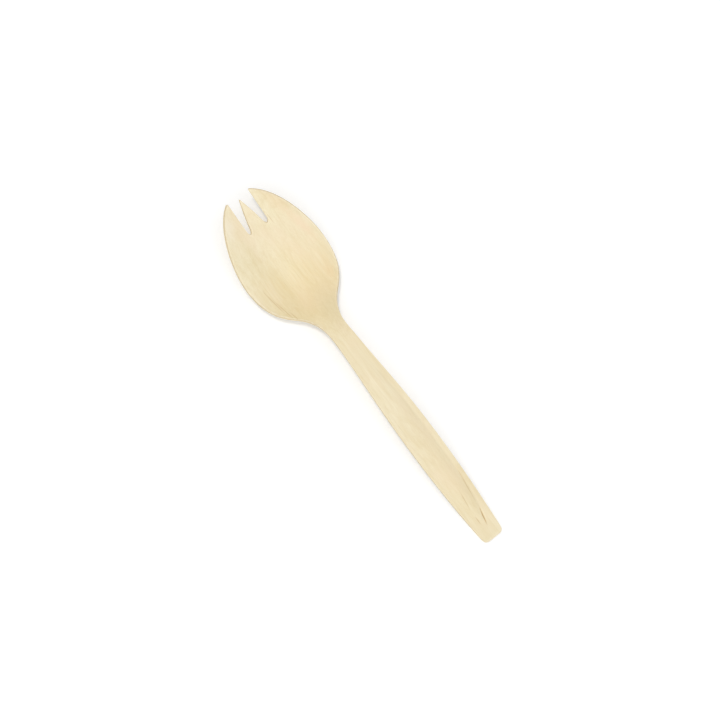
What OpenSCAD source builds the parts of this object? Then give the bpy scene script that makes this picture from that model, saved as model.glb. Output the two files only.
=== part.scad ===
// Wooden spork: three birch veneers, glued face to face and hot-pressed into one curved sheet.
// It lies as on a table: +X runs from the handle's end to the tines, +Z is up, the table is Z = 0.
// The origin is under the middle of the overall length. A station is a distance from the handle's end.

/* [Overall] */
// Length in plan, from the handle's end to the tips of the outer tines
overall_l = 160; // [140:1:190]

/* [Veneers] */
// Thickness of the face veneer, the side that carries the food
face_t = 0.5; // [0.4:0.05:0.9]
// Thickness of the core veneer
core_t = 0.5; // [0.4:0.05:0.9]
// Thickness of the back veneer
back_t = 0.5; // [0.4:0.05:0.9]

/* [Bowl] */
// Width across the rim at the widest point
bowl_w = 36.6; // [30:0.2:42]
// Length of the oval ahead of its widest point
bowl_front_l = 31; // [27:0.5:36]
// Length of the oval behind its widest point
bowl_rear_l = 24; // [20:0.2:29]
// Depth of the dish across the widest point
bowl_depth = 4.3; // [3:0.1:6.5]
// Distance of the deepest point behind the widest point
deepest_setback = 7; // [3:0.5:10]
// Length over which the floor turns up, ahead of the deepest point, into the straight rise to the tines
floor_turn_l = 12; // [6:0.5:20]
// Height of the tine tips above the table, on the back
tip_h = 10.8; // [7:0.1:15]

/* [Tines] */
// Distance between the outer corners of the two outer tine tips
tip_spread = 10.9; // [9.5:0.1:12.5]
// Width of each blunt tine tip
tip_w = 0.5; // [0.3:0.05:0.9]
// Distance of the middle tip behind the outer tips
mid_tip_setback = 1.2; // [0:0.1:3]
// Depth of the notches, from the outer tips to their roots
notch_l = 13.6; // [10:0.2:17]
// Width of the middle tine where it leaves the notch roots
mid_tine_w = 6.4; // [5:0.1:7]
// Width of each round notch root
notch_root_w = 1.6; // [1.2:0.1:1.9]

/* [Neck] */
// Width at the narrowest point
neck_w = 8.2; // [6.5:0.1:10]
// Length of the oval's rear end that gives way to the neck's curve
shoulder_cut = 3.6; // [2.8:0.1:5]
// Height of the crest above the table, on the back
crest_h = 8.2; // [6:0.1:12]
// Distance of the crest behind the narrowest point
crest_setback = 7; // [3:0.5:12]

/* [Handle] */
// Width at the widest point of the handle
handle_w = 12.4; // [11:0.1:15]
// Distance of that widest point from the handle's end
handle_wide_at = 43; // [34:1:50]
// Width of the handle's end, before its corners are rounded
end_w = 8.6; // [7.5:0.1:10.5]
// Radius of the end corners
end_corner_r = 1.6; // [1:0.1:2.5]
// Length of the flat rest under the handle's end
rest_l = 5; // [4:0.5:8]

/* [Bead] */
// Height of the stiffening bead pressed up along the handle
bead_h = 0.9; // [0.5:0.05:1.3]
// Width of the flat margin on each side of the bead
bead_margin = 2.3; // [1.5:0.1:2.6]
// Length of the bead's pointed end, ahead of the rest
bead_point_l = 14; // [10:1:20]
// Length over which the bead fades out towards the crest
bead_fade_l = 34; // [20:1:40]

/* [Hidden] */

// Turn of the dish's curve at its rim, in degrees: a half turn would leave the rim level
dish_turn = 144;
// How full the oval is ahead of its widest point and behind it: 2 is an ellipse, less draws it in
front_fullness = 1.65;
rear_fullness = 2.4;
// How fast the middle tine's flanks draw in: above 1 they bulge like a pointed arch
tine_bulge = 1.15;
// How late the handle draws in towards the neck: 1 is an even sway
grip_taper = 1.25;
// How early the handle climbs to its crest: below 1 it is arched more than swayed
handle_arch = 0.75;
// How softly the bead's crown meets its margins: 1 is a sharp foot
bead_foot = 1.3;
// Step for the surface's slopes
slope_step = 0.01;

// Grid of the pressed sheet: spaces across half a middle tine, a notch and an outer tine
mid_n = 2;
notch_n = 3;
outer_n = 4;
half_n = mid_n + notch_n + outer_n;
// Spaces across half the bead, with the rest of the half across its margin
bead_n = 6;
// Rows round the end corners and along the tines
corner_n = 4;
tine_n = 8;

// Stations that follow from the driving dimensions
bowl_at = overall_l - bowl_front_l * pow(1 - pow(tip_spread / bowl_w, 2), 1 / front_fullness);
deepest_at = bowl_at - deepest_setback;
mid_tip_at = overall_l - mid_tip_setback;
notch_at = overall_l - notch_l + notch_root_w / 2;

// The shoulder is where the oval gives way to an arc that runs on, with the same slope, to the neck
shoulder_at = bowl_at - bowl_rear_l + shoulder_cut;
shoulder_half = oval_half(shoulder_at);
shoulder_angle = atan((oval_half(shoulder_at + slope_step) - oval_half(shoulder_at - slope_step)) / (2 * slope_step));
neck_r = (shoulder_half - neck_w / 2) / (1 - cos(shoulder_angle));
neck_at = shoulder_at - neck_r * sin(shoulder_angle);
crest_at = neck_at - crest_setback;

// Edges of a notch at its root, from the centre line
notch_in = mid_tine_w / 2;
notch_out = notch_in + notch_root_w;

function clamp(t) = max(0, min(1, t));
function mix(a, b, t) = a + (b - a) * t;
// Share of the way from one station to another, and the same easing in and out
function share(from, to, at) = clamp((at - from) / (to - from));
function eased(t) = t * t * (3 - 2 * t);
function ease(from, to, at) = eased(share(from, to, at));
function spread(from, to, n) = [for (i = [1:n]) mix(from, to, i / n)];

// Half the outline's width at a station
function oval_half(at) =
    let (ahead = at - bowl_at,
         drawn_in = ahead > 0 ? pow(ahead / bowl_front_l, front_fullness) : pow(-ahead / bowl_rear_l, rear_fullness))
    bowl_w / 2 * sqrt(max(0, 1 - drawn_in));
function neck_half(at) = neck_w / 2 + neck_r - sqrt(pow(neck_r, 2) - pow(at - neck_at, 2));
function grip_half(at) = mix(handle_w, neck_w, eased(pow(share(handle_wide_at, neck_at, at), grip_taper))) / 2;
function butt_half(at) = mix(handle_w, end_w, pow(1 - at / handle_wide_at, 2)) / 2;
function corner_cut(at) =
    let (short = max(0, end_corner_r - max(0, at)))
    end_corner_r - sqrt(pow(end_corner_r, 2) - pow(short, 2));
function half_width(at) =
    at > shoulder_at ? oval_half(at)
    : at > neck_at ? neck_half(at)
    : at > handle_wide_at ? grip_half(at)
    : butt_half(at) - corner_cut(at);

// Height of the pressed sheet's back: the long profile, the dish across the bowl and the handle's bead
function profile(at) =
    at < crest_at ? crest_h * eased(pow(share(rest_l, crest_at, at), handle_arch))
    : at < deepest_at ? crest_h * (1 - ease(crest_at, deepest_at, at))
    : tip_h * turned_up(at - deepest_at) / turned_up(overall_l - deepest_at);
function turned_up(ahead) = sqrt(pow(ahead, 2) + pow(floor_turn_l, 2)) - floor_turn_l;
function dish(at, y) =
    bowl_depth * ease(crest_at, shoulder_at, at)
        * (1 - cos(dish_turn * y / (bowl_w / 2))) / (1 - cos(dish_turn));
function bead_half(at) =
    (half_width(at) - bead_margin) * sin(90 * share(rest_l, rest_l + bead_point_l, at));
function bead(at, y) =
    at <= rest_l || at >= crest_at || abs(y) >= bead_half(at) ? 0
    : bead_h * ease(rest_l, rest_l + bead_point_l, at) * (1 - ease(crest_at - bead_fade_l, crest_at, at))
        * pow(1 - pow(y / bead_half(at), 2), bead_foot);
function back_z(at, y) = profile(at) + dish(at, y) + bead(at, y);
function normal(at, y) =
    let (along = (back_z(at + slope_step, y) - back_z(at - slope_step, y)) / (2 * slope_step),
         across = (back_z(at, y + slope_step) - back_z(at, y - slope_step)) / (2 * slope_step),
         up = [-along, -across, 1])
    up / norm(up);

// Stations of the grid's rows behind the notch roots
body_rows = concat(
    [for (i = [0:corner_n]) end_corner_r * (1 - cos(90 * i / corner_n))],
    spread(end_corner_r, rest_l, 2),
    spread(rest_l, rest_l + bead_point_l, 8),
    spread(rest_l + bead_point_l, crest_at, 14),
    spread(crest_at, shoulder_at, 10),
    spread(shoulder_at, bowl_at, 7),
    spread(bowl_at, notch_at - notch_root_w, 6),
    [notch_at]);
notch_row = len(body_rows) - 1;
last_row = notch_row + tine_n;

// Plan position [station, y] of the grid point in a row, counting columns outwards from the centre line
function beaded_y(column, foot, edge) =
    column <= bead_n ? foot * column / bead_n : mix(foot, edge, (column - bead_n) / (half_n - bead_n));
function tined_y(column, inner, outer, edge) =
    column <= mid_n ? inner * column / mid_n
    : column <= mid_n + notch_n ? mix(inner, outer, (column - mid_n) / notch_n)
    : mix(outer, edge, (column - mid_n - notch_n) / outer_n);
function body_point(at, column) =
    let (half = half_width(at))
    [at, mix(beaded_y(column, half - bead_margin, half), tined_y(column, notch_in, notch_out, half),
             ease(crest_at, notch_at, at))];
function root_point(column) =
    let (turn = 180 * (column - mid_n) / notch_n - 90)
    [notch_at - notch_root_w / 2 * cos(turn), (notch_in + notch_out + notch_root_w * sin(turn)) / 2];
function tine_point(share, column) =
    let (at = mix(notch_at, column > mid_n ? overall_l : mid_tip_at, share),
         inner = mix(tip_w / 2, notch_in, 1 - pow(share, tine_bulge)),
         outer = mix(notch_out, tip_spread / 2 - tip_w, share))
    [at, tined_y(column, inner, outer, half_width(at))];
function in_notch(column) = column > mid_n && column < mid_n + notch_n;
function plan_point(row, column) =
    row < notch_row ? body_point(body_rows[row], column)
    : row == notch_row && in_notch(column) ? root_point(column)
    : row == notch_row ? body_point(notch_at, column)
    : tine_point(sin(90 * (row - notch_row) / tine_n), column);

// The pressed sheet: a point of the back and the direction through the veneers, for each grid point
columns = [-half_n:half_n];
sheet = [for (row = [0:last_row], column = columns)
    let (plan = plan_point(row, abs(column)), at = plan[0], y = sign(column) * plan[1])
    [[at, y, back_z(at, y)], normal(at, y)]];
column_count = 2 * half_n + 1;
point_count = len(sheet);

// A cell of the grid, named by its lowest row and column, holds wood unless it lies in a notch
function has_wood(row, column) =
    let (out = column < 0 ? -column - 1 : column)
    row >= 0 && row < last_row && out < half_n
        && (row < notch_row || out < mid_n || out >= mid_n + notch_n);
function corner(row, column) = row * column_count + column + half_n;
function cell_corners(row, column) =
    [corner(row, column), corner(row, column + 1), corner(row + 1, column + 1), corner(row + 1, column)];
// A cell as two triangles, split alike on both sides of the centre line
function halves(c, column) =
    column < 0 ? [[c[0], c[1], c[2]], [c[0], c[2], c[3]]] : [[c[1], c[2], c[3]], [c[1], c[3], c[0]]];
function flipped(faces, shift) = [for (f = faces) [f[2] + shift, f[1] + shift, f[0] + shift]];
// The cut edge of the veneer along one side of a cell
function wall(p, q) = [[q + point_count, p + point_count, p], [q + point_count, p, q]];
function cell_faces(row, column) =
    let (c = cell_corners(row, column), top = halves(c, column))
    concat(
        [for (f = top) [for (corner = f) corner + point_count]],
        flipped(top, 0),
        has_wood(row - 1, column) ? [] : wall(c[0], c[1]),
        has_wood(row, column + 1) ? [] : wall(c[1], c[2]),
        has_wood(row + 1, column) ? [] : wall(c[2], c[3]),
        has_wood(row, column - 1) ? [] : wall(c[3], c[0]));
veneer_faces = [for (row = [0:last_row - 1], column = [-half_n:half_n - 1])
    if (has_wood(row, column)) each cell_faces(row, column)];

// A veneer of the pressed sheet, from one depth to another through its thickness
function layer(depth) = [for (s = sheet) s[0] + depth * s[1] - [overall_l / 2, 0, 0]];
module veneer(below, above) {
    polyhedron(points = concat(layer(below), layer(above)), faces = veneer_faces, convexity = 6);
}

module face_veneer() {
    color("#F0E1BE") veneer(back_t + core_t, back_t + core_t + face_t);
}

module core_veneer() {
    color("#DCC59A") veneer(back_t, back_t + core_t);
}

module back_veneer() {
    color("#EDDCB6") veneer(0, back_t);
}

face_veneer();
core_veneer();
back_veneer();
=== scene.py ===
import math

import bpy
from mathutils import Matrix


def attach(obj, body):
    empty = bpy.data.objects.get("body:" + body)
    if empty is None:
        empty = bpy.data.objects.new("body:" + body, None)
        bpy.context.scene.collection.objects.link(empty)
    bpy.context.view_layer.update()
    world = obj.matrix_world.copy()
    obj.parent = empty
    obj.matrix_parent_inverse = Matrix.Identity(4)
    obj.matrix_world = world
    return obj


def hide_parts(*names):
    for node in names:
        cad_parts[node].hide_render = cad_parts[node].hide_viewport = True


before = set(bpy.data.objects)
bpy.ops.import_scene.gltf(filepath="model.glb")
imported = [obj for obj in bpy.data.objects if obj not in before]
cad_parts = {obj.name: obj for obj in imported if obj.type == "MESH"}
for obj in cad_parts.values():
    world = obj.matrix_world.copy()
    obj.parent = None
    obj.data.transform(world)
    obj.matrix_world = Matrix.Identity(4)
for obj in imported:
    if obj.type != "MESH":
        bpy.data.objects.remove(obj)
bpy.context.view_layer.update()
bpy.ops.object.select_all(action="DESELECT")

scene = bpy.context.scene
scene.view_settings.view_transform = "Standard"
mm = 0.001
midLength = 80  # stations run from the handle's end, the frame's origin lies under the middle


def atStation(station):
    return (station - midLength) * mm


# picking by place or by normal, as a click in the viewport would
def pickPoints(piece, test):
    bpy.ops.object.mode_set(mode="EDIT")
    bpy.ops.mesh.select_mode(type="VERT")
    bpy.ops.mesh.select_all(action="DESELECT")
    bpy.ops.object.mode_set(mode="OBJECT")
    for point in piece.data.vertices:
        point.select = test(point.co)
    bpy.ops.object.mode_set(mode="EDIT")


def pickFaces(piece, test):
    bpy.ops.object.mode_set(mode="EDIT")
    bpy.ops.mesh.select_mode(type="FACE")
    bpy.ops.mesh.select_all(action="DESELECT")
    bpy.ops.object.mode_set(mode="OBJECT")
    for face in piece.data.polygons:
        face.select = test(face)
    bpy.ops.object.mode_set(mode="EDIT")


def makeActive(piece):
    if bpy.context.object and bpy.context.object.mode != "OBJECT":
        bpy.ops.object.mode_set(mode="OBJECT")
    bpy.ops.object.select_all(action="DESELECT")
    piece.select_set(True)
    bpy.context.view_layer.objects.active = piece


def copyOf(piece, name):
    makeActive(piece)
    bpy.ops.object.duplicate(linked=False)
    twin = bpy.context.object
    twin.name = name
    return twin


def discard(piece):
    makeActive(piece)
    bpy.ops.object.delete()


def finishWith(piece, kind, **settings):
    makeActive(piece)
    modifier = piece.modifiers.new(kind.title(), kind)
    for name, value in settings.items():
        setattr(modifier, name, value)
    bpy.ops.object.modifier_apply(modifier=modifier.name)


# the flat blank, half of it, in mm: a row is a station and the half width there
blank = {
    "endRows": ((0.1, 2.6), (0.25, 3.25), (0.55, 3.8), (1.05, 4.18), (1.7, 4.4)),
    "handleRows": ((3, 4.5), (5, 4.67), (9, 4.97), (14, 5.3), (20, 5.61), (27, 5.9), (35, 6.1),
                   (43, 6.16), (52, 6.11), (61, 5.84), (70, 5.37), (79, 4.79), (87, 4.33), (93, 4.09)),
    "neckRows": ((97.4, 4.02), (100, 4.23), (102.5, 4.84), (104.8, 5.81), (106.8, 7.02), (108.6, 8.51)),
    "bowlRows": ((110.4, 10.42), (112.5, 12.58), (115, 14.56), (118, 16.18), (122, 17.49), (126, 18.11),
                 (130.5, 18.29), (134, 18.05), (138, 17.42), (141.5, 16.58), (144.5, 15.66), (147.2, 14.65)),
    "midTine": ((147.2, 3.06), (149.5, 2.71), (151.8, 2.13), (154.1, 1.53), (156.4, 0.89), (157.9, 0.46),
                (158.7, 0.17)),
    "sideTine": ((147.2, 14.65), (149, 13.87), (151, 12.91), (153, 11.78), (155, 10.46), (157, 8.87), (158.6, 7.24),
                 (159.5, 6.1), (159.9, 5.5)),
    "sideTineInner": 5,     # its straight inner flank
    "columns": (0, 0.1, 0.209, 0.273, 0.3413, 0.48, 0.65, 0.83, 1),  # shares of the half width
    "rootColumn": 3,        # the column that ends in the notch
    "notchRoot": 1.3,       # how far the round root goes back
    "smoothing": 2,
    "plainEnd": 1.1,        # one flat face takes up the crowded rows from the end to here
    "plainMidTip": 155.3,   # and from here to the tips
    "plainSideTip": 157.9,
    "straightWithin": 3,    # degrees
    "near": 0.1,            # for picking points by their place
    "startHeight": -10,     # under the mould, so that a point which misses it is easy to find
}


def growRows(rows, flank, height):  # widths scale from the line of the flank
    for (station, half), (ahead, halfAhead) in zip(rows, rows[1:]):
        bpy.ops.mesh.extrude_region_move(TRANSFORM_OT_translate={"value": ((ahead - station) * mm, 0, 0)})
        bpy.ops.transform.resize(value=(1, (halfAhead - flank) / (half - flank), 1),
                                 center_override=(0, flank * mm, height))


def drawBlank():
    rows = blank["endRows"] + blank["handleRows"] + blank["neckRows"] + blank["bowlRows"]
    columns = blank["columns"]
    spaces = len(columns) - 1
    height = blank["startHeight"] * mm
    near = blank["near"] * mm
    (endStation, endHalf), (nextStation, nextHalf) = rows[0], rows[1]
    bpy.ops.mesh.primitive_grid_add(x_subdivisions=1, y_subdivisions=spaces, size=1, location=(0.5, 0.5, 0))
    piece = bpy.context.object
    piece.name = "blank"
    bpy.ops.object.transform_apply(location=True, rotation=True, scale=True)
    for number, share in enumerate(columns[1:-1], 1):  # columns go where the tines will want them
        pickPoints(piece, lambda at: abs(at.y - number / spaces) < 0.01)
        bpy.ops.transform.translate(value=(0, share - number / spaces, 0))
    bpy.ops.mesh.select_all(action="SELECT")
    bpy.ops.transform.resize(value=((nextStation - endStation) * mm, endHalf * mm, 1), center_override=(0, 0, 0))
    bpy.ops.transform.translate(value=(atStation(endStation), 0, height))

    # front edge out to the second row's width, then on row by row to the notch roots
    pickPoints(piece, lambda at: at.x > atStation((endStation + nextStation) / 2))
    bpy.ops.transform.resize(value=(1, nextHalf / endHalf, 1), center_override=(0, 0, height))
    growRows(rows[1:], 0, height)

    # each tine grows out of its own stretch of that last row
    rootStation, rootHalf = rows[-1]
    rootLine = atStation(rootStation)
    notch = columns[blank["rootColumn"]] * rootHalf * mm
    tines = ((blank["midTine"], 0, lambda y: y < notch - near),
             (blank["sideTine"], blank["sideTineInner"], lambda y: y > notch + near))
    for tineRows, flank, ownStretch in tines:
        pickPoints(piece, lambda at: abs(at.x - rootLine) < near and ownStretch(at.y))
        growRows(tineRows, flank, height)
    pickPoints(piece, lambda at: abs(at.x - rootLine) < near and abs(at.y - notch) < near)
    bpy.ops.transform.translate(value=(-blank["notchRoot"] * mm, 0, 0))

    finishWith(piece, "MIRROR", use_axis=(False, True, False), merge_threshold=0.02 * mm)
    finishWith(piece, "SUBSURF", levels=blank["smoothing"], render_levels=blank["smoothing"],
               boundary_smooth="PRESERVE_CORNERS")

    # the end and the tips are left plain, with room for the arrises
    plainEnd, midTip, sideTip = (atStation(blank[name]) for name in ("plainEnd", "plainMidTip", "plainSideTip"))
    pickFaces(piece, lambda face: face.center.x < plainEnd
              or face.center.x > (midTip if abs(face.center.y) < notch else sideTip))
    bpy.ops.mesh.dissolve_limited(angle_limit=math.radians(blank["straightWithin"]))
    makeActive(piece)
    print("blank drawn,", len(piece.data.polygons), "faces")
    return piece


# the mould is the underside of the CAD's back veneer, welded and made smooth
mould = {"node": "back_veneer", "facesDown": -0.3, "weld": 0.01, "quadAngle": 60, "smoothing": 2}


def pressOnMould(piece):
    form = copyOf(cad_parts[mould["node"]], "mould")
    pickFaces(form, lambda face: face.normal.z > mould["facesDown"])
    bpy.ops.mesh.delete(type="FACE")
    bpy.ops.mesh.select_all(action="SELECT")
    bpy.ops.mesh.remove_doubles(threshold=mould["weld"] * mm)
    quadAngle = math.radians(mould["quadAngle"])
    bpy.ops.mesh.tris_convert_to_quads(face_threshold=quadAngle, shape_threshold=quadAngle)
    finishWith(form, "SUBSURF", levels=mould["smoothing"], render_levels=mould["smoothing"],
               boundary_smooth="PRESERVE_CORNERS")
    finishWith(piece, "SHRINKWRAP", target=form, wrap_method="PROJECT", use_project_z=True,
               use_positive_direction=True, use_negative_direction=True)
    missed = sum(point.co.z < -mm for point in piece.data.vertices)
    print("blank pressed,", missed, "points off the mould")
    discard(form)


pressedSheet = drawBlank()
pressOnMould(pressedSheet)


# helpers for node trees
def addNode(tree, kind, **settings):
    node = tree.nodes.new("ShaderNode" + kind)
    for name, value in settings.items():
        setattr(node, name, value)
    return node


def feed(tree, node, values):
    for name, value in values.items():
        socket = node.inputs[name]
        if isinstance(value, bpy.types.NodeSocket):
            tree.links.new(value, socket)
        else:
            socket.default_value = value
    return node


def paint(hexCode):
    shares = [int(hexCode[i:i + 2], 16) / 255 for i in (0, 2, 4)]
    return [s / 12.92 if s < 0.04045 else ((s + 0.055) / 1.055) ** 2.4 for s in shares] + [1]


def calculate(tree, operation, first, second=0.0):
    return feed(tree, addNode(tree, "Math", operation=operation), {0: first, 1: second}).outputs[0]


def between(tree, value, low, high, toLow=0.0, toHigh=1.0):
    node = addNode(tree, "MapRange", interpolation_type="SMOOTHSTEP")
    return feed(tree, node, {0: value, 1: low, 2: high, 3: toLow, 4: toHigh}).outputs[0]


def blendColour(tree, share, first, second):
    return feed(tree, addNode(tree, "Mix", data_type="RGBA"), {0: share, 6: first, 7: second}).outputs[2]


def newGroup(name, inputs, outputs):
    tree = bpy.data.node_groups.new(name, "ShaderNodeTree")
    for direction, sockets in (("INPUT", inputs), ("OUTPUT", outputs)):
        for socketName, kind in sockets.items():
            tree.interface.new_socket(socketName, in_out=direction, socket_type="NodeSocket" + kind)
    return tree, tree.nodes.new("NodeGroupInput").outputs, tree.nodes.new("NodeGroupOutput").inputs


def drawnOut(tree, where, along, across, detail, roughness=0.5):
    stretch = feed(tree, addNode(tree, "Mapping"),
                   {"Vector": where, "Scale": (1 / (along * mm), 1 / (across * mm), 1 / (across * mm))})
    noise = feed(tree, addNode(tree, "TexNoise"),
                 {"Vector": stretch.outputs[0], "Scale": 1, "Detail": detail, "Roughness": roughness})
    return noise.outputs["Fac"]


# birch figure: a pair is a length along the grain and a width across it, in mm, the rest are shares
birchFigure = {
    "sway": (55, 16), "swayBy": 2.2,
    "rings": (150, 7), "ringCount": 9, "ringDepth": 0.2,
    "tone": (70, 6), "toneDepth": 0.36,
    "strands": (42, 1.1), "strandDepth": 0.3,
    "fibre": (26, 0.3), "fibreDepth": 0.4,
    "pores": (3.2, 0.15), "poreShare": 0.3, "poreHollow": 0.5,
    "blush": (20, 9), "blushShare": 0.55,
    "smoothest": 0.52, "roughest": 0.68,
}


def makeBirchGrain():
    tree, given, made = newGroup(
        "birchGrain",
        {"Vector": "Vector", "Pale": "Color", "Deep": "Color", "Blush": "Color", "Pore": "Color"},
        {"Color": "Color", "Roughness": "Float", "Height": "Float"})
    sway = calculate(tree, "SUBTRACT", drawnOut(tree, given["Vector"], *birchFigure["sway"], 1), 0.5)
    aside = feed(tree, addNode(tree, "CombineXYZ"),
                 {"Y": calculate(tree, "MULTIPLY", sway, birchFigure["swayBy"] * mm)})
    swayed = feed(tree, addNode(tree, "VectorMath", operation="ADD"), {0: given["Vector"], 1: aside.outputs[0]})
    where = swayed.outputs[0]
    rings = calculate(tree, "MULTIPLY", drawnOut(tree, where, *birchFigure["rings"], 1), birchFigure["ringCount"])
    lateWood = between(tree, calculate(tree, "FRACT", rings), 0.45, 0.95)
    tone = between(tree, drawnOut(tree, where, *birchFigure["tone"], 3), 0.3, 0.7)
    strands = drawnOut(tree, where, *birchFigure["strands"], 2)
    fibre = drawnOut(tree, where, *birchFigure["fibre"], 4, 0.65)
    pores = between(tree, drawnOut(tree, where, *birchFigure["pores"], 1), 0.66, 0.76)
    blush = between(tree, drawnOut(tree, given["Vector"], *birchFigure["blush"], 2), 0.4, 0.75)
    depth = calculate(tree, "MULTIPLY", tone, birchFigure["toneDepth"])
    depth = calculate(tree, "ADD", depth, calculate(tree, "MULTIPLY", lateWood, birchFigure["ringDepth"]))
    depth = calculate(tree, "ADD", depth, between(tree, strands, 0.3, 0.7, 0, birchFigure["strandDepth"]))
    depth = calculate(tree, "ADD", depth, between(tree, fibre, 0.25, 0.75, 0, birchFigure["fibreDepth"]))
    blushed = calculate(tree, "MULTIPLY", blush, birchFigure["blushShare"])
    pored = calculate(tree, "MULTIPLY", pores, birchFigure["poreShare"])
    hollow = calculate(tree, "MULTIPLY", pores, birchFigure["poreHollow"])
    colour = blendColour(tree, depth, given["Pale"], given["Deep"])
    colour = blendColour(tree, blushed, colour, given["Blush"])
    colour = blendColour(tree, pored, colour, given["Pore"])
    roughness = between(tree, fibre, 0.2, 0.8, birchFigure["smoothest"], birchFigure["roughest"])
    tree.links.new(colour, made["Color"])
    tree.links.new(roughness, made["Roughness"])
    tree.links.new(calculate(tree, "SUBTRACT", fibre, hollow), made["Height"])
    return tree


# one long soft-ended streak of darker or paler colour: grain streaks, and also painted shade and painted light
markFigure = {"fray": (3.5, 0.35), "frayBy": 0.7, "softFrom": 0.35, "softTo": 1.3}


def makeGrainAndPaintedLightMark():
    tree, given, made = newGroup(
        "grainAndPaintedLightMark", {"Vector": "Vector", "Centre": "Vector", "Turn": "Vector", "Reach": "Vector"}, {"Mask": "Float"})
    local = feed(tree, addNode(tree, "Mapping", vector_type="TEXTURE"),
                 {"Vector": given["Vector"], "Location": given["Centre"], "Rotation": given["Turn"],
                  "Scale": given["Reach"]})
    away = feed(tree, addNode(tree, "VectorMath", operation="LENGTH"), {0: local.outputs[0]})
    fray = drawnOut(tree, given["Vector"], *markFigure["fray"], 2)
    edge = calculate(tree, "ADD", away.outputs["Value"], calculate(tree, "MULTIPLY", fray, markFigure["frayBy"]))
    tree.links.new(between(tree, edge, markFigure["softFrom"], markFigure["softTo"], 1, 0), made["Mask"])
    return tree


# rubbed arrises: paler, smoother and with the fibre worn down, in broken patches
wearFigure = {"patches": (2.6, 0.7), "least": 0.15, "paler": 0.6, "smoother": 0.1, "wornDown": 0.7}


def makeEdgeWear():
    tree, given, made = newGroup(
        "edgeWear",
        {"Vector": "Vector", "Rubbed": "Float", "Color": "Color", "Worn": "Color", "Roughness": "Float",
         "Height": "Float"},
        {"Color": "Color", "Roughness": "Float", "Height": "Float"})
    broken = drawnOut(tree, given["Vector"], *wearFigure["patches"], 3, 0.6)
    patches = between(tree, broken, 0.36, 0.64, wearFigure["least"], 1)
    wear = calculate(tree, "MULTIPLY", given["Rubbed"], patches)
    paler, smoother, wornDown = (calculate(tree, "MULTIPLY", wear, wearFigure[name])
                                 for name in ("paler", "smoother", "wornDown"))
    tree.links.new(blendColour(tree, paler, given["Color"], given["Worn"]), made["Color"])
    tree.links.new(calculate(tree, "SUBTRACT", given["Roughness"], smoother), made["Roughness"])
    kept = calculate(tree, "SUBTRACT", 1.0, wornDown)
    tree.links.new(calculate(tree, "MULTIPLY", given["Height"], kept), made["Height"])
    return tree


birchGrain = makeBirchGrain()
grainAndPaintedLightMark = makeGrainAndPaintedLightMark()
edgeWear = makeEdgeWear()
print("grain and wear groups made")


surface = {"bumpDistance": 0.04, "specular": 0.35}


def birch(name, look):
    material = bpy.data.materials.new(name)
    material.use_nodes = True
    tree = material.node_tree
    onPiece = addNode(tree, "TexCoord").outputs["Object"]
    along = feed(tree, addNode(tree, "Mapping"),
                 {"Vector": onPiece, "Location": look["shift"], "Rotation": (0, 0, math.radians(look["turn"]))})
    wood = feed(tree, addNode(tree, "Group", node_tree=birchGrain),
                {"Vector": along.outputs[0], "Pale": paint(look["pale"]), "Deep": paint(look["deep"]),
                 "Blush": paint(look["blush"]), "Pore": paint(look["pore"])})
    colour = wood.outputs["Color"]
    for station, side, length, width, turn, tint, strength in look["marks"]:
        mark = feed(tree, addNode(tree, "Group", node_tree=grainAndPaintedLightMark),
                    {"Vector": onPiece, "Centre": (atStation(station), side * mm, 0),
                     "Turn": (0, 0, math.radians(turn)), "Reach": (length / 2 * mm, width / 2 * mm, 1)})
        share = calculate(tree, "MULTIPLY", mark.outputs["Mask"], strength)
        colour = blendColour(tree, share, colour, paint(tint))
    rubbed = addNode(tree, "Attribute", attribute_name="rubbed").outputs["Fac"]
    worn = feed(tree, addNode(tree, "Group", node_tree=edgeWear),
                {"Vector": onPiece, "Rubbed": rubbed, "Color": colour, "Worn": paint(look["worn"]),
                 "Roughness": wood.outputs["Roughness"], "Height": wood.outputs["Height"]}).outputs
    bump = feed(tree, addNode(tree, "Bump"),
                {"Strength": look["relief"], "Distance": surface["bumpDistance"] * mm, "Height": worn["Height"]})
    feed(tree, tree.nodes["Principled BSDF"],
         {"Base Color": worn["Color"], "Roughness": worn["Roughness"], "Normal": bump.outputs[0],
          "Specular IOR Level": surface["specular"]})
    return material


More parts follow.
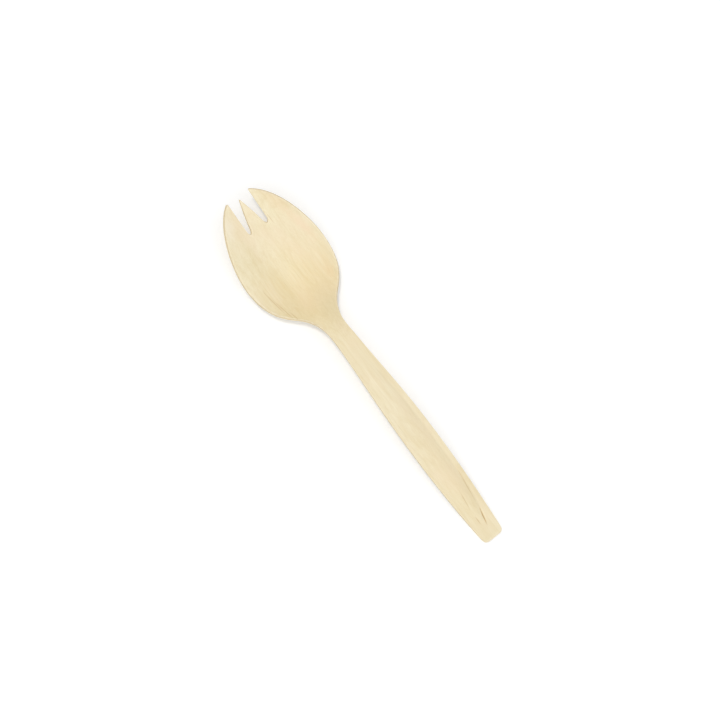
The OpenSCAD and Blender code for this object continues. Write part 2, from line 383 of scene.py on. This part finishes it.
# a mark: station, side, length and width in mm, turn in degrees, colour, strength
faceBirch = birch("faceBirch", {
    "shift": (0, 0, 0), "turn": 0, "relief": 0.35,
    "pale": "F4E9CA", "deep": "E5D5AC", "blush": "F1DFC0", "pore": "CDB487", "worn": "F8EDD2",
    "marks": (
        (112, 0, 62, 62, 0, "EACB88", 0.34),                # warmer, darker wood round the neck and the bowl's rear, partly painted shade of the bowl's rear wall
        (22, -0.5, 90, 26, 0, "E2CC9C", 0.32),              # warmer wood down the handle
        # darker down the handle's right side: painted shade of the bead's right flank
        (60, -3, 90, 12, -3, "E2CDA6", 0.32),
        # painted shade on the neck and the top of the handle, darker where the neck slopes down into the bowl
        (84, 0, 46, 30, 0, "DCC79C", 0.22),
        # painted shade on the right side of the neck, where the bowl's rear wall turns from the light
        (105, -4.5, 34, 18, 0, "D4C49C", 0.38),
        (56, 2.5, 64, 12, 0, "E0CDAA", 0.24),
        (153, 10, 18, 9, -24, "F9F1DE", 0.4),               # a paler outer tine: painted light on its lit side
        (150, -11, 26, 10, 14, "EBCFA4", 0.4),
        (138, -13.5, 26, 5, 12, "F0D6B4", 0.5),
        (118, -12, 16, 6, -10, "ECD0A0", 0.4),
        (8.85, -1.35, 10.5, 0.8, -12, "BA944A", 0.8),       # the open check near the end
        (9.4, -2.2, 9, 0.9, -11, "F8E9C4", 0.6),
        (21.5, -3.2, 22, 0.6, -7.4, "C9AC72", 0.6),         # grain lines that run up to it
        (18.4, 0.75, 13, 0.6, -6.5, "C9AC72", 0.6),
        (9, 1.25, 5.5, 0.7, 2, "C7A970", 0.55),
        (120, 12.4, 22, 0.8, 7, "CDAF78", 0.55),
        (116, 11.2, 18, 0.7, 9, "CDAF78", 0.55),
        (112, 9.6, 12, 0.6, 12, "CAAA72", 0.5),
        (146.5, -5.5, 7, 0.6, 3, "CFB27C", 0.55),
    )})
coreBirch = birch("coreBirch", {
    "shift": (0.3, 0.1, 0), "turn": 90, "relief": 0.35,
    "pale": "E9D6AC", "deep": "D6BE92", "blush": "E2C9A0", "pore": "B0925F", "worn": "EBDAB4",
    "marks": ()})
backBirch = birch("backBirch", {
    "shift": (-0.4, 0.2, 0.1), "turn": 0, "relief": 0.35,
    "pale": "F3E6C4", "deep": "E6D3A8", "blush": "EFDAB8", "pore": "CBB081", "worn": "F7EACE",
    "marks": (
        (96, 0, 56, 30, 0, "E4C892", 0.3),                  # warmer wood under the neck
        (30, 2, 64, 14, 2, "E1CB9C", 0.3),
        (133, 6, 40, 12, 5, "F7EDD4", 0.35),                # a paler stripe under the bowl
        (127, -9, 26, 0.9, -6, "CBAD78", 0.5),              # grain lines
        (121, 8.5, 20, 0.7, 7, "CBAD78", 0.5),
        (141, -3, 14, 0.7, -3, "CFB27C", 0.5),
        (72, -2.2, 30, 0.7, -2, "C9AC72", 0.5),
        (47, 1.9, 24, 0.6, 2, "C9AC72", 0.5),
        (17, -0.8, 16, 0.6, 4, "C7A970", 0.5),
    )})
cutBirch = birch("cutBirch", {
    "shift": (0.1, 0.4, 0), "turn": 0, "relief": 0.6,
    "pale": "F2E3BF", "deep": "E1CCA0", "blush": "EBD5AE", "pore": "BEA06C", "worn": "F4E6C6",
    "marks": ()})
cutCoreBirch = birch("cutCoreBirch", {
    "shift": (0.3, 0.1, 0), "turn": 90, "relief": 0.6,
    "pale": "E9D6AC", "deep": "D6BF92", "blush": "E0C89C", "pore": "AE905C", "worn": "EBDAB4",
    "marks": ()})
print("birch finishes made")

# the three veneers: layer 1, 3 or 5 is the lowest, middle or top one on the pressed sheet
sheet = {"thickness": 0.5, "arrisSegments": 2, "smoothAngle": 40}
backVeneer = {"name": "backVeneer", "node": "back_veneer", "slot": "back_birch", "layer": 1,
              "topArris": 0.03, "bottomArris": 0.14, "wood": backBirch, "cut": cutBirch, "checked": False}
coreVeneer = {"name": "coreVeneer", "node": "core_veneer", "slot": "core_birch", "layer": 3,
              "topArris": 0.03, "bottomArris": 0.03, "wood": coreBirch, "cut": cutCoreBirch, "checked": False}
faceVeneer = {"name": "faceVeneer", "node": "face_veneer", "slot": "face_birch", "layer": 5,
              "topArris": 0.14, "bottomArris": 0.03, "wood": faceBirch, "cut": cutBirch, "checked": True}


# a drying check, open in the face near the handle's end
check = {"station": 8.85, "side": -1.35, "length": 6.6, "width": 0.36, "depth": 0.26, "turn": -12, "rise": 4.5,
         "segments": 24, "rings": 12}


def openCheck(piece):
    bpy.ops.mesh.select_all(action="DESELECT")
    bpy.ops.mesh.select_face_by_sides(number=4, type="GREATER")
    bpy.ops.mesh.quads_convert_to_tris()  # many-sided faces confuse the cut
    x, y = atStation(check["station"]), check["side"] * mm
    bpy.ops.object.mode_set(mode="OBJECT")
    top = max(point.co.z for point in piece.data.vertices
              if abs(point.co.x - x) < mm and abs(point.co.y - y) < mm / 2)
    bpy.ops.object.select_all(action="DESELECT")
    bpy.ops.mesh.primitive_uv_sphere_add(segments=check["segments"], ring_count=check["rings"], radius=mm,
                                         location=(x, y, top))
    cutter = bpy.context.object
    cutter.scale = (check["length"] / 2, check["width"] / 2, check["depth"])
    cutter.rotation_euler = (0, -math.radians(check["rise"]), math.radians(check["turn"]))
    bpy.ops.object.transform_apply(location=True, rotation=True, scale=True)
    finishWith(piece, "BOOLEAN", operation="DIFFERENCE", solver="EXACT", object=cutter)
    discard(cutter)
    makeActive(piece)


def rubArrises(piece):  # 1 along the cut edges and their arrises, fading out over the next row of faces
    rubbed = piece.data.attributes.new("rubbed", "FLOAT", "POINT")
    for face in piece.data.polygons:
        if face.material_index == 1:
            for point in face.vertices:
                rubbed.data[point].value = 1


def layVeneer(veneer):
    piece = copyOf(pressedSheet, veneer["name"])
    piece.data.materials.append(veneer["wood"])
    piece.data.materials.append(veneer["cut"])
    finishWith(piece, "SOLIDIFY", thickness=sheet["thickness"] * mm, offset=veneer["layer"], use_even_offset=True,
               material_offset_rim=1)
    for side, arris in ((1, veneer["topArris"]), (-1, veneer["bottomArris"])):
        pickFaces(piece, lambda face: face.material_index == 0 and face.normal.z * side > 0)
        bpy.ops.mesh.region_to_loop()
        bpy.ops.mesh.bevel(offset=arris * mm, segments=sheet["arrisSegments"], affect="EDGES", loop_slide=False,
                           material=1)
    if veneer["checked"]:
        openCheck(piece)
    makeActive(piece)
    rubArrises(piece)
    bpy.ops.object.shade_smooth_by_angle(angle=math.radians(sheet["smoothAngle"]))
    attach(piece, "root")
    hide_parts(veneer["node"])
    print(veneer["name"], "laid,", len(piece.data.polygons), "faces")
    return piece


for veneer in (backVeneer, coreVeneer, faceVeneer):
    layVeneer(veneer)
discard(pressedSheet)

# camera over the photograph's frame, leaning a little towards the spork's left side
photoView = {"lookAt": (3.94, -0.21, 4), "frameWidth": 270.4, "lens": 100, "sensor": 36, "tilt": 8.5, "turn": -127.65}


def setCamera():
    distance = photoView["frameWidth"] * photoView["lens"] / photoView["sensor"] * mm
    tilt = math.radians(photoView["tilt"])
    x, y, z = (value * mm for value in photoView["lookAt"])
    bpy.ops.object.camera_add(location=(x, y + distance * math.sin(tilt), z + distance * math.cos(tilt)))
    camera = bpy.context.object
    camera.rotation_mode = "ZYX"
    camera.rotation_euler = (-tilt, 0, math.radians(photoView["turn"]))
    camera.data.lens = photoView["lens"]
    camera.data.sensor_width = photoView["sensor"]
    scene.camera = camera
    print("camera set")


studio = {"room": 0.53, "roomColour": "FAFCFF", "floorSize": 6, "floor": "F2F2F2", "floorLift": 0.165}
softBox = {"name": "softBox", "at": (-0.674, 0.272, 1.078), "size": 2.8, "power": 13}
topLamp = {"name": "topLamp", "at": (0.34, 0.1, 1.15), "size": 0.14, "power": 3.8}


def seenDirectly(tree):
    path = addNode(tree, "LightPath").outputs
    seen = calculate(tree, "MAXIMUM", path["Is Camera Ray"], path["Is Glossy Ray"])
    return calculate(tree, "MAXIMUM", seen, path["Is Transmission Ray"])


def lightStudio():
    room = bpy.data.worlds.new("softRoom")
    scene.world = room
    room.use_nodes = True
    tree = room.node_tree
    seen = seenDirectly(tree)
    feed(tree, tree.nodes["Background"],
         {"Color": blendColour(tree, seen, paint(studio["roomColour"]), (1, 1, 1, 1)),
          "Strength": between(tree, seen, 0, 1, studio["room"], 1)})
    for light in (softBox, topLamp):
        bpy.ops.object.light_add(type="AREA", location=light["at"])
        lamp = bpy.context.object
        lamp.name = light["name"]
        lamp.data.size = light["size"]
        lamp.data.energy = light["power"]
        lamp.rotation_euler = (-lamp.location).to_track_quat("-Z", "Y").to_euler()

    bpy.ops.mesh.primitive_plane_add(size=studio["floorSize"], location=(0, 0, 0))
    floor = bpy.context.object
    floor.name = "floor"
    paper = bpy.data.materials.new("whitePaper")
    paper.use_nodes = True
    tree = paper.node_tree
    lift = calculate(tree, "MULTIPLY", seenDirectly(tree), studio["floorLift"])
    feed(tree, tree.nodes["Principled BSDF"],
         {"Base Color": paint(studio["floor"]), "Roughness": 1.0, "Specular IOR Level": 0.0,
          "Emission Color": (1, 1, 1, 1), "Emission Strength": lift})
    floor.data.materials.append(paper)
    print("studio lit")


setCamera()
lightStudio()
